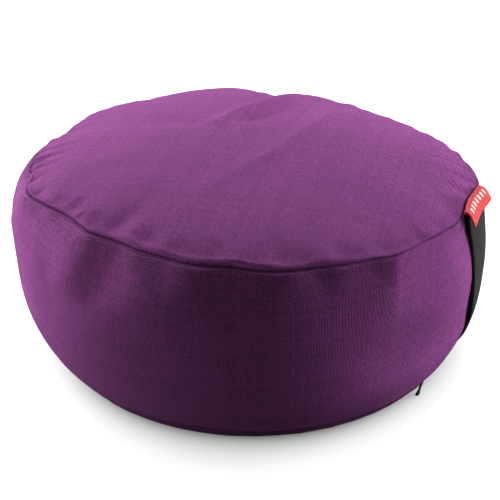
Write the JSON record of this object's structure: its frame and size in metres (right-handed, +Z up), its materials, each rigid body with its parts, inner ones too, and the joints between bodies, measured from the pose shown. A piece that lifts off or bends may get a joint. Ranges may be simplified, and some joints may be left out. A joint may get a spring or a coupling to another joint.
{
  "type": "zafu meditation cushion",
  "caption": "Round filled floor cushion with a crowned top, a bulging side band, a webbing handle and a small side label, for sitting on in meditation.",
  "frame": {"origin": "on the floor, under the middle of the side band", "axes": "+Z up, +X through the handle, +Y to the left of the handle seen from above with the handle at the front"},
  "size_m": [0.3618, 0.3669, 0.1637],
  "materials": {
    "canvas": "matt purple plain-weave canvas with a visible thread",
    "webbing": "matt black woven webbing with fine ribs",
    "label_tape": "red woven tape with a soft sheen",
    "pull_metal": "black painted metal, half gloss"
  },
  "bodies": {
    "root": {"cushion": "canvas", "handle_strap": "webbing", "side_label": "label_tape", "zip_pull": "pull_metal"}
  },
  "joints": []
}
